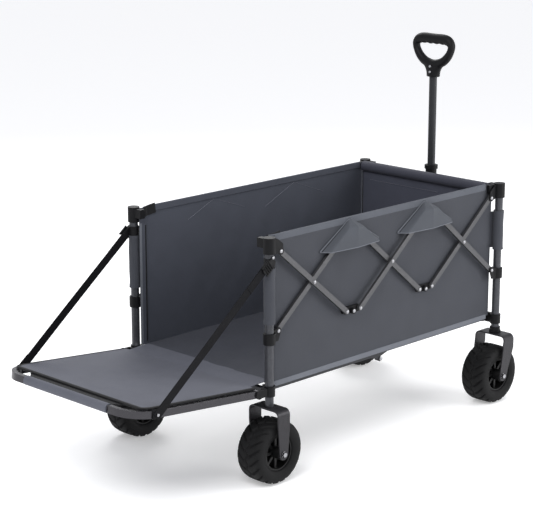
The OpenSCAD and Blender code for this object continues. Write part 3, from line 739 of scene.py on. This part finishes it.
def floor_half(name, x0, x1, body):
    x, y = np.meshgrid(np.linspace(x0, x1, 60), np.linspace(-250, 250, 60))
    edge = np.clip(np.minimum(250 - np.abs(y), 30) / 30, 0, 1)
    wrinkle = 0.35 * np.sin(x / 23 + y / 51) * np.sin(y / 33) + 0.25 * np.sin(x / 11 - y / 70)
    z = 276.9 + (0.4 + wrinkle * 0.5) * edge - 0.6 * (1 - edge)
    # Both halves take the darkened floor cloth, which paints the shade inside the bag.
    half = cloth(name, np.stack([x, y, z], 2), 1.6, SHADED_FLOOR_CLOTH, body)


floor_half("floor_cloth_tail", -478, KNEE_X - 0.05, "floor_tail")
floor_half("floor_cloth_front", KNEE_X + 0.05, 465.5, "floor_front")
print("floor laid")

# %% [markdown]
# ## Cloth round the posts
# A short sleeve of the bag's cloth is wrapped round each post and sewn to the wall. It holds the bag to
# the post, and it stays above the slider, which has to run down the post.

# %% Post sleeves
def post_sleeve(name, x_post, side, low, high, body):
    z = np.linspace(low, high, 30)
    turn = np.linspace(0, 2 * math.pi, 41)[:-1]
    rings_out, rings_in = [], []
    for height in z:
        crease = 0.35 * np.sin(turn * 3 + height / 21) + 0.25 * np.sin(height / 9 + turn)
        flare = 0.5 * (abs(height - low) < 6 or abs(height - high) < 6)
        for rings, radius in ((rings_out, 15.8 + crease + flare), (rings_in, np.full_like(turn, 12.6))):
            rings.append(np.stack([x_post + radius * np.cos(turn),
                                   side * HALF_W + radius * np.sin(turn),
                                   np.full_like(turn, height)], 1))
    wrap = skin(np.array(rings_out + rings_in[::-1]), closed=True)
    tab_x = x_post + math.copysign(13, -x_post) * np.array([0.1, 0.75, 1.15, 1.5])
    tab_y = np.array([HALF_W - 13, HALF_W - 15, HALF_W - 16.2, HALF_W - 16.4]) * side
    tab_path = np.stack([tab_x, tab_y, np.full(4, (low + high) / 2)], 1)
    tab = sweep(tab_path, tape(high - low - 8, 1.2), (0, 0, 1))
    sleeve = piece(name, join(wrap, tab), WALL, body)


for side, word in SIDES:
    post_sleeve(f"sleeve_tail_{word}", -HALF_L, side, 449, 604, "tail_frame")
    post_sleeve(f"sleeve_front_{word}", HALF_L, side, 481, 602, "front_frame")
print("sleeves wrapped")

# %% [markdown]
# ## The tailgate's cloth
# The gate is a bent tube with a stiffened cloth panel on top. The panel is edged with dark piping, and
# a padded sleeve is wrapped round the middle of the outer tube, where a hand takes hold.

# %% The gate's own slope
GATE_X, GATE_Z, GATE_RISE = -545, 260, math.radians(5.4)
GATE_LONG = (982 - 545) / math.cos(GATE_RISE)


def on_gate(along, y, lift):
    """From along the gate, across and lift above its tube to a point of the wagon."""
    along, y, lift = np.broadcast_arrays(along, y, lift)
    c, s = math.cos(GATE_RISE), math.sin(GATE_RISE)
    return np.stack([GATE_X - along * c + lift * s, y, GATE_Z + along * s + lift * c], -1)


GATE_HALF, GATE_BEND = 262, 66


def gate_edge(along):
    """Half the panel's width at a distance along the gate, narrowing in the round corners."""
    bend = np.clip(along - (GATE_LONG - 70), 0, GATE_BEND - 1)
    return GATE_HALF - GATE_BEND + np.sqrt(GATE_BEND ** 2 - bend ** 2)


print("gate", round(GATE_LONG), "mm long")


# %% Gate panel
PANEL_START, PANEL_END = 6, GATE_LONG - 34
along, across = np.meshgrid(np.linspace(PANEL_START, PANEL_END, 90), np.linspace(-1, 1, 90))
half = gate_edge(along)
share = np.clip((along - PANEL_START) / (PANEL_END - PANEL_START), 0.02, 0.98)
middle = np.cos(across * math.pi / 2) ** 0.5 * np.sin(share * math.pi) ** 0.5
wrinkle = (0.4 * np.sin(along / 31 + across * 5) * np.sin(across * 7)
           + 0.25 * np.sin(along / 13 - across * 4))
lift = 14.2 + 1.8 * middle + wrinkle * middle
panel = cloth("gate_cloth", on_gate(along, across * half, lift), 3.6, GATE_CLOTH, "tailgate")
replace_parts(panel, "tailgate_panel")
print("gate panel", round(PANEL_END - PANEL_START), "mm long")

# %% Piping, a dark skirt of painted shade, and padded sleeve

side_run = np.linspace(8, PANEL_END - 1, 70)
PIPING_LIFT = 14.0
end_run = np.linspace(1, -1, 60)[1:-1] * gate_edge(PANEL_END - 1)
outline = np.concatenate([on_gate(side_run, gate_edge(side_run), PIPING_LIFT),
                          on_gate(PANEL_END, end_run, PIPING_LIFT),
                          on_gate(side_run[::-1], -gate_edge(side_run[::-1]), PIPING_LIFT)])
piping = piece("gate_piping", sweep(outline, oval(3.0, 6.5, 14), (0, 0, 1)), DARK_TAPE_AND_SHADE, "tailgate")
# The skirt closes the gap between panel and sleeve; its near-black colour is painted shade of that gap.
SHADE_SKIRT = ((42, 205, 11.6), (36, 200, 11.0), (30, 192, 10.2), (24, 184, 9.8), (18, 176, 9.8),
         (10, 168, 9.8))
shade_skirt_rows = [on_gate(GATE_LONG - back, np.linspace(-1, 1, 60) * wide, up) for back, wide, up in SHADE_SKIRT]
shade_skirt = cloth("gate_sleeve_flap_painted_shade", np.array(shade_skirt_rows), 1.4, DARK_TAPE_AND_SHADE, "tailgate")
sleeve_line = on_gate(GATE_LONG, np.linspace(-168, 168, 70), 0.0)
padded_roll("gate_sleeve", sleeve_line, 13.2, GATE_CLOTH, "tailgate", 1.2, 32)
print("gate edged, piping of", len(outline), "points")

# %% [markdown]
# ## Cloth over the sill
# Between the bag's floor and the gate a strip of cloth bridges the hinge.

# %% Sill cloth
hinge_rows = []
for share in np.linspace(0, 1, 26):
    height = (1 - share) * 277.4 + share * 274.6 + 1.2 * math.sin(share * math.pi)
    hinge_rows.append(np.stack([np.full(50, -474 - share * 80), np.linspace(-246, 246, 50),
                                np.full(50, height)], 1))
hinge_cloth = cloth("gate_hinge_cloth", np.array(hinge_rows), 1.6, GATE_CLOTH, None)
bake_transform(hinge_cloth)
print("sill cloth", len(hinge_rows), "rows")

# %% [markdown]
# ## Gate straps
# Two webbing straps hold the open gate. Each hangs from a ladder lock on the tail post and ends in a
# riveted loop on the gate's side tube. Webbing is woven flat and thick, so it bends only one way.

# %% Where a strap runs
STRAP_TOP = np.array([-510.0, 618.0])
FOOT_ALONG = 371
STRAP_FOOT = np.array([GATE_X - FOOT_ALONG * math.cos(GATE_RISE),
                       GATE_Z + FOOT_ALONG * math.sin(GATE_RISE)])
STRAP_LONG = np.linalg.norm(STRAP_FOOT - STRAP_TOP)
LEAN = (STRAP_FOOT - STRAP_TOP) / np.linalg.norm(STRAP_FOOT - STRAP_TOP)
CROSS = np.array([-LEAN[1], LEAN[0]])


def on_strap(run, cross, out):
    """From along the strap, across it and outwards to a point of the wagon."""
    x, z = STRAP_TOP + LEAN * run + CROSS * cross
    return np.array([x, out, z])


print("a strap is", round(float(STRAP_LONG)), "mm long")


# %% Webbing straps
LOCK_END = 27
WIDTH_WAY = (CROSS[0], 0, CROSS[1])


def gate_strap(side, word):
    run = np.linspace(LOCK_END, STRAP_LONG - 8, 60)
    belly = 1.2 * np.sin(np.pi * (run - LOCK_END) / (STRAP_LONG - 35))
    path = np.array([on_strap(r, 0, 279 + b) for r, b in zip(run, belly)])
    band = sweep(path, tape(25, 1.8), WIDTH_WAY)
    turned_path = np.array([on_strap(r, 0, 281.4 - 0.008 * (r - LOCK_END)) for r in (27, 45, 70, 96)])
    turned = sweep(turned_path, tape(24, 1.6), WIDTH_WAY)
    strap = piece(f"strap_{word}", on_side(join(band, turned), side), WEBBING, None)
    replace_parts(strap, "straps")
    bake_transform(strap)


# %% Ladder locks and riveted loops
LOOP_WIDE, LOOP_TALL = 9.6, 11.6


def ladder_lock(side, word):
    """Four bars between two rails, as a strap's lock is moulded."""
    bars = []
    for step, radius in ((2, 2.4), (9, 2.8), (16, 2.8), (23, 2.4)):
        ends = [on_strap(step, reach, 287.6) for reach in np.linspace(-13.5, 13.5, 7)]
        bars.append(sweep(np.array(ends), oval(radius, radius * 0.8, 10), (0, 1, 0)))
    for reach in (-14, 14):
        rail = [on_strap(step, reach, 286.5) for step in np.linspace(-2, 30, 9)]
        bars.append(sweep(np.array(rail), oval(2.2, 3.2, 10), (0, 1, 0)))
    piece(f"ladder_lock_{word}", on_side(join(*bars), side), PLASTIC, "tail_frame")


def strap_loop(side, word):
    """The strap's end, turned round the gate's side tube and riveted to itself."""
    loop_path = []
    for turn in np.linspace(-0.3, 1.25, 26) * math.pi:
        flat = np.array([math.cos(turn), math.sin(turn)])
        reach = 1 / max(abs(flat[0]) / LOOP_WIDE, abs(flat[1]) / LOOP_TALL)
        reach = min(reach, math.hypot(LOOP_WIDE, LOOP_TALL) * 0.9)
        loop_path.append(on_gate(FOOT_ALONG + 4, 269 + flat[0] * reach, flat[1] * reach))
    loop = sweep(np.array(loop_path), tape(24, 1.8), (-math.cos(GATE_RISE), 0, math.sin(GATE_RISE)))
    tongue_path = [on_strap(STRAP_LONG - back, 0, 280.2 + out) for back, out in
                   ((-8, -0.6), (4, 0.6), (16, 0.8), (28, 0.6), (40, 0.2))]
    tongue = sweep(np.array(tongue_path), tape(26, 2.2), WIDTH_WAY)
    piece(f"strap_loop_{word}", on_side(join(loop, tongue), side), WEBBING, "tailgate")


for side, word in SIDES:
    gate_strap(side, word)
    ladder_lock(side, word)
    strap_loop(side, word)
print("two straps hung with their locks and loops")

# %% [markdown]
# ## Rivets
# Flat steel arms turn on domed rivets. A dome is lathed as a few rings, and every body carries its own,
# so the domes turn with their arms.

# %% Domed rivet heads
def dome(centre, direction, radius, height, sides=20):
    """A domed head that stands on a face and points along a direction."""
    direction = np.asarray(direction, float) / np.linalg.norm(direction)
    first = np.cross(direction, (0, 0, 1) if abs(direction[2]) < 0.9 else (1, 0, 0))
    first /= np.linalg.norm(first)
    second = np.cross(direction, first)
    turn = np.arange(sides) * 2 * math.pi / sides
    stack = []
    for share, up in ((1.0, 0.0), (1.0, 0.25), (0.93, 0.5), (0.78, 0.74), (0.52, 0.92), (0.2, 1.0)):
        ring = np.cos(turn)[:, None] * first + np.sin(turn)[:, None] * second
        stack.append(np.asarray(centre, float) + ring * radius * share + direction * height * up)
    return skin(stack)


print("dome faces", len(dome((0, 0, 0), (0, 1, 0), 5.5, 3.1)[1]))

# %% Rivets on every body
OUTER, INNER = 277.5, 268.5
CAP_OUTER, SLIDER_INNER = 280.9, 271.9
RIVETS = {
    "scissor_1a": [(-464, 645, CAP_OUTER), (-192, 421, OUTER), (-328, 533, OUTER)],
    "scissor_1b": [(-464, 421, SLIDER_INNER), (-192, 645, INNER)],
    "scissor_2a": [(-136, 645, INNER), (136, 421, INNER)],
    "scissor_2b": [(-136, 421, OUTER), (136, 645, OUTER), (0, 533, OUTER)],
    "scissor_3a": [(192, 645, OUTER), (464, 421, CAP_OUTER), (328, 533, OUTER)],
    "scissor_3b": [(192, 421, INNER), (464, 645, SLIDER_INNER)],
    "hub_low_tail": [(-164, 418, OUTER)], "hub_low_front": [(164, 418, INNER)],
    "hub_top_tail": [(-164, 642, INNER)], "hub_top_front": [(164, 642, OUTER)],
}
for body, heads in RIVETS.items():
    shape = join(*[dome((x, out, z), (0, 1, 0), 5.5, 3.1) for x, z, out in heads])
    piece(f"rivets_{body}", join(shape, near_side(shape)), STEEL, body)
FRAME_RIVETS = {
    "tail_frame": [((-469, 253.2, 259), 5.5, 3.0), ((-500, 286.6, 634), 4.5, 2.6)],
    "front_frame": [((469, 241.2, 259), 5.5, 3.0)],
    "tailgate": [((-915, 282.6, 294.5), 4.2, 2.4)],
    "floor_tail": [((-16, 252.0, 239), 6, 3.2)],
}
for body, heads in FRAME_RIVETS.items():
    shape = join(*[dome(centre, (0, 1, 0), radius, height) for centre, radius, height in heads])
    piece(f"rivets_{body}", join(shape, near_side(shape)), STEEL, body)
print(2 * sum(len(heads) for heads in (*RIVETS.values(), *FRAME_RIVETS.values())), "domes")

# %% [markdown]
# ## Wheels
# The tyres are wide and soft for sand. Each is a lathed section whose tread is cut by slanted grooves
# from both shoulders and a winding groove round the middle. The four share one mesh.

# %% Treaded tyre
TREAD_BLOCKS = 20


def tyre_shape(turns=432, across=57):
    """Rings round the axle: the outside's section with its grooves, then one ring inside the rim."""
    profile = [(30, 50), (38, 51), (41, 56), (43, 62), (44, 69), (43.6, 75), (42, 80), (39, 84.5),
               (34, 87.6), (27, 89.2), (18, 89.8), (9, 90), (0, 90)]
    profile = np.array(profile + [(-a, b) for a, b in profile[-2::-1]], float)
    length = np.concatenate([[0], np.cumsum(np.linalg.norm(np.diff(profile, axis=0), axis=1))])
    spots = np.linspace(0, length[-1], across)
    wide = np.interp(spots, length, profile[:, 0])
    deep = np.interp(spots, length, profile[:, 1])
    turn = np.arange(turns) * 2 * math.pi / turns
    angle, half_width = np.meshgrid(turn, wide, indexing="ij")
    radius = np.broadcast_to(deep, angle.shape).copy()
    shoulder_groove, middle_groove = 4.0, 3.2
    sweep_back = 1.25 * (np.abs(half_width) / 44) ** 1.4 + np.where(half_width < 0, 0.5, 0)
    phase = (angle * TREAD_BLOCKS / (2 * math.pi) + sweep_back) % 1
    groove = smooth_step((0.15 - np.abs(phase - 0.5)) / 0.07)
    groove *= smooth_step((np.abs(half_width) - 7) / 5) * smooth_step((radius - 80) / 7)
    wave = 3.5 * np.sin(angle * TREAD_BLOCKS)
    middle = smooth_step((3.4 - np.abs(half_width - wave)) / 1.6)
    radius -= np.maximum(shoulder_groove * groove, middle_groove * middle)
    ridge = 0.5 * np.exp(-((radius - 63) / 1.2) ** 2)
    out = half_width * (1 - 0.012 * groove) + np.sign(half_width) * ridge
    points = np.stack([radius * np.cos(angle), out, radius * np.sin(angle)], 2)
    inner = np.stack([50 * np.cos(turn), np.full(turns, -30.0), 50 * np.sin(turn)], 1)
    return skin(np.concatenate([points, inner[:, None]], 1), closed=True)


print("tread blocks a side:", TREAD_BLOCKS)

# %% Four tyres from one mesh
WHEELS = {"wheel_tail_near": (-500, -1), "wheel_tail_far": (-500, 1),
          "wheel_front_near": (475, -1), "wheel_front_far": (475, 1)}
TYRE_R = 90
tread = None
for body, (x, side) in WHEELS.items():
    name = body.replace("wheel", "tread")
    if tread is None:
        tyre = piece(name, tyre_shape(), RUBBER, None)
        tyre.data.transform(Matrix.Translation((-MID_X, 0, 0)))
        tread = tyre.data
    else:
        tyre = bpy.data.objects.new(name, tread)
        bpy.context.scene.collection.objects.link(tyre)
    tyre.location = at(x, side * HALF_W, TYRE_R)
    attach(tyre, body)
    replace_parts(tyre, body.replace("wheel", "tyre"))
print("tyre points", len(tread.vertices))

# %% Axle bolts
def hexagon(centre, out, radius, thick):
    """A bolt's head with a bevelled edge, pointing along out."""
    turn = np.arange(6) * math.pi / 3
    ring = np.stack([np.cos(turn), np.zeros(6), np.sin(turn)], 1)
    steps = ((radius, 0), (radius, out * thick * 0.8), (radius * 0.9, out * thick))
    return skin([np.array(centre) + ring * wide + (0, lift, 0) for wide, lift in steps])


for body, x in (("tail_frame", -500), ("caster", 475)):
    for side, word in SIDES:
        heads = []
        for out in (1, -1):
            face = (x, side * HALF_W + out * 56.6, TYRE_R)
            heads.append(dome(face, (0, out, 0), 8.6, 1.2))
            heads.append(hexagon((x, face[1] + out * 1.0, TYRE_R), out, 7.6, 4.2))
        rider = body if body == "tail_frame" else f"caster_{word}"
        piece(f"axle_bolt_{body}_{word}", join(*heads), STEEL, rider)
print("bolts in")

# %% [markdown]
# ## Handle grip
# The grip is one moulding: a closed D with a swelling neck. It is drawn as an oval carried round the D
# and a lofted neck, melted into one skin, with shallow finger hollows under the top bar.

# %% A closed D grip
GRIP_X, GRIP_Z = 504, 984
D_HALF = [(0, 117, 16.5, 15), (40, 117, 16.5, 15), (58, 113, 15, 14.5), (68, 103, 12, 13.5),
          (69, 92, 11, 12.5), (64, 78, 11.5, 12.5), (53, 62, 13, 13), (36, 48, 14, 13.5),
          (16, 41, 14, 14), (0, 39, 14, 14)]


def rounded_loop(corners, steps=14):
    """A smooth closed curve through points of any number of columns."""
    corners = np.asarray(corners, float)
    before, after, later = np.roll(corners, 1, 0), np.roll(corners, -1, 0), np.roll(corners, -2, 0)
    out = []
    for t in np.arange(steps) / steps:
        out.append(0.5 * (2 * corners + (after - before) * t
                          + (2 * before - 5 * corners + 4 * after - later) * t ** 2
                          + (3 * corners - before - 3 * after + later) * t ** 3))
    return np.stack(out, 1).reshape(-1, corners.shape[1])


loop = rounded_loop(D_HALF + [(-y, z, a, b) for y, z, a, b in D_HALF[-2:0:-1]])
ring = oval(1, 1, 28)
section = np.stack([ring[None, :, 0] * loop[:, 3:4], ring[None, :, 1] * loop[:, 2:3]], 2)
path = np.stack([np.full(len(loop), GRIP_X), loop[:, 0], GRIP_Z + loop[:, 1]], 1)
bow, bow_faces = sweep(path, section, (1, 0, 0), closed=True)
FINGER_PITCH = 24
under = (np.clip((GRIP_Z + 114 - bow[:, 2]) / 14, 0, 1) * (bow[:, 2] > GRIP_Z + 94)
         * (np.abs(bow[:, 1]) < 47))
bow[:, 2] += under * 1.3 * (1 + np.cos(2 * math.pi * bow[:, 1] / FINGER_PITCH))
print("bow points", len(bow))

# %% The neck, and one skin over both
NECK = ((0, 22.5, 18), (8, 22.5, 18), (16, 24.5, 17.5), (26, 30, 16.5), (36, 39, 15), (46, 48, 13.5))
neck = []
for z, wide, deep in NECK:
    outline = oval(deep, wide, 40)
    neck.append(np.stack([GRIP_X + outline[:, 0], outline[:, 1], np.full(40, GRIP_Z + z)], 1))
grip = piece("grip", join((bow, bow_faces), skin(neck)), PLASTIC, None)
melt = grip.modifiers.new("melt", "REMESH")
melt.mode, melt.voxel_size = "VOXEL", 1.8 * MM
soften = grip.modifiers.new("soften", "SMOOTH")
soften.factor, soften.iterations = 0.6, 6
baked = bpy.data.meshes.new_from_object(grip.evaluated_get(bpy.context.evaluated_depsgraph_get()))
grip.modifiers.clear()
grip.data = baked
baked.shade_smooth()
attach(grip, "handle_inner")
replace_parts(grip, "handle_grip")
screws = join(*[dome((GRIP_X - 17.2, 0, GRIP_Z + z), (-1, 0, 0), 4.2, 2.2) for z in (16, 33)])
piece("grip_screws", screws, STEEL, "handle_inner")
print("grip points", len(grip.data.vertices))
